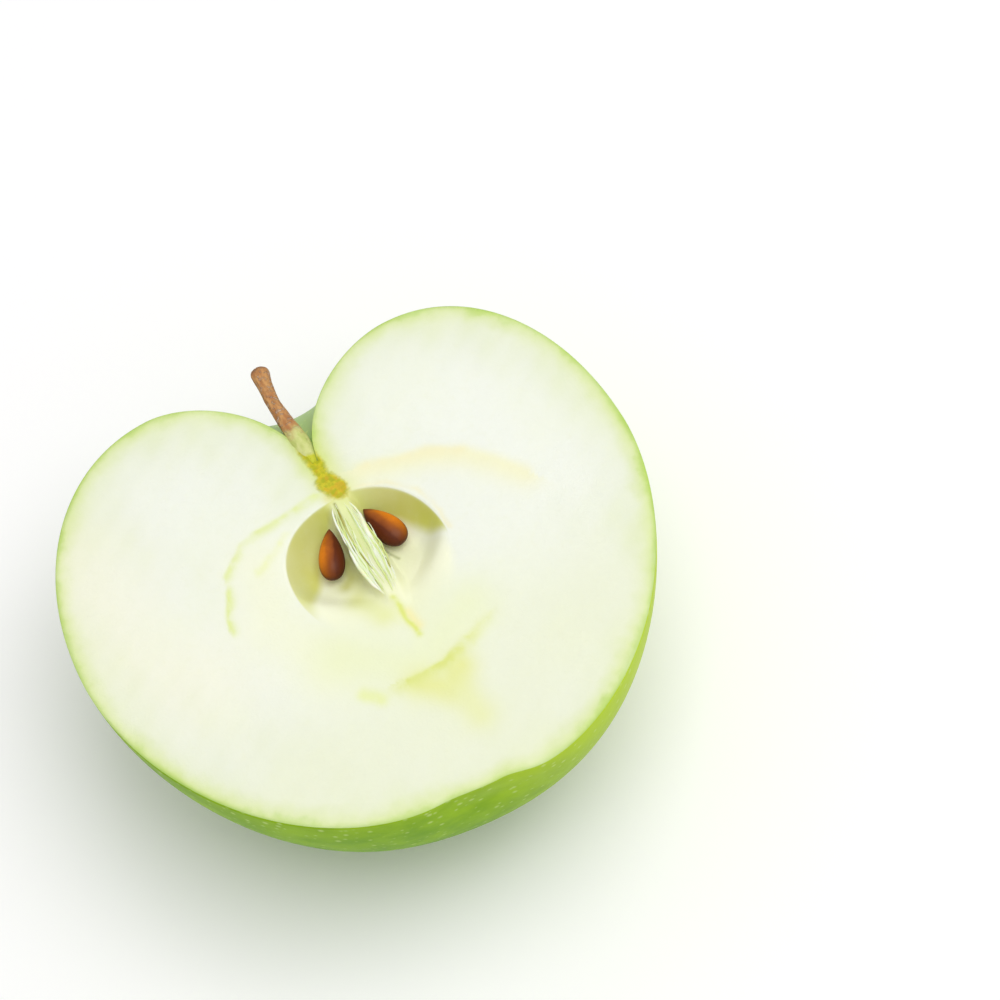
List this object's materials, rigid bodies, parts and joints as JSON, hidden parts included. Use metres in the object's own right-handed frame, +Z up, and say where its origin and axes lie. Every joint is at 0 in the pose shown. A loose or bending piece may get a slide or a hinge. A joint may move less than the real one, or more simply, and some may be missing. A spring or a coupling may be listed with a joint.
{
  "type": "apple half",
  "caption": "Green apple cut in half from stem to base, lying on its skin with the pale cut face up, seeds in its open core and the stem in its hollow.",
  "frame": {"origin": "on the floor under the middle of the part's box, just under the flat spot that the half rests on", "axes": "+Z up out of the cut face, +Y along the apple's axis towards the stem, +X across the cut face to the right seen from above with the stem away from the viewer"},
  "size_m": [0.0828, 0.0746, 0.0425],
  "materials": {
    "apple_half": "pale moist flesh on the cut, waxy yellow-green skin round it",
    "stem": "dull reddish-brown bark, green towards its foot",
    "seed": "smooth glossy brown"
  },
  "bodies": {
    "root": {"apple_half": "apple_half", "stem": "stem", "seed_left": "seed", "seed_right": "seed"}
  },
  "joints": []
}
